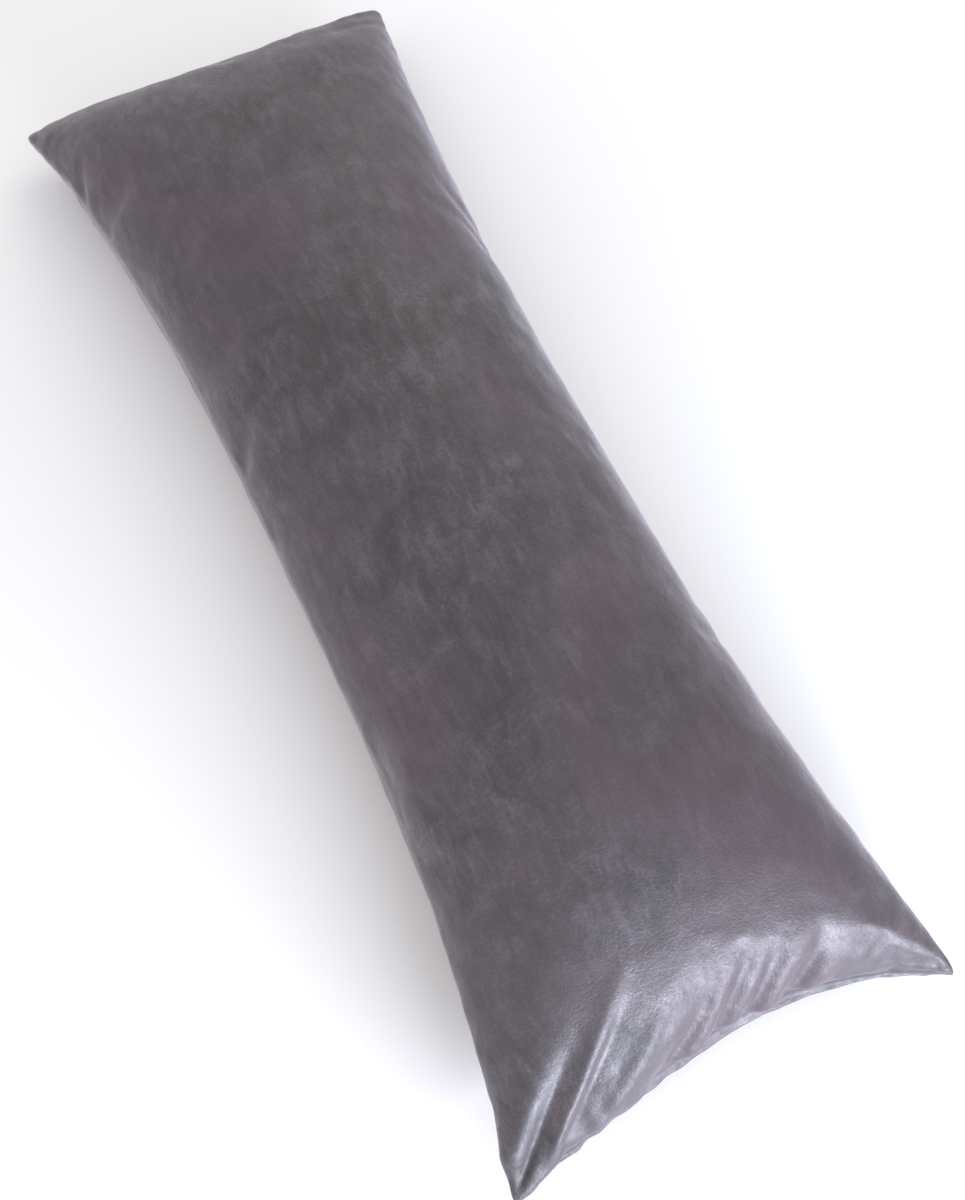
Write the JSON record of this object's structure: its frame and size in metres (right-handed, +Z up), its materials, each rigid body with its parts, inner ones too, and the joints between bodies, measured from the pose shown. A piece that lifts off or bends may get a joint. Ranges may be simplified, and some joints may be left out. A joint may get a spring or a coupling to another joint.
{
  "type": "body pillow",
  "caption": "Long filled body pillow in short grey plush, with a crowned face, drawn-in sides, pointed ears and a knife-edge seam.",
  "frame": {"origin": "under the middle of the pillow, on the surface that it lies on", "axes": "+X across the pillow, +Y along it from the near end to the far end, +Z up through the face"},
  "size_m": [0.4723, 1.341, 0.2168],
  "materials": {
    "velvet_cover": "short brushed plush, soft sheen along its edges"
  },
  "bodies": {
    "root": {"pillow": "velvet_cover"}
  },
  "joints": []
}
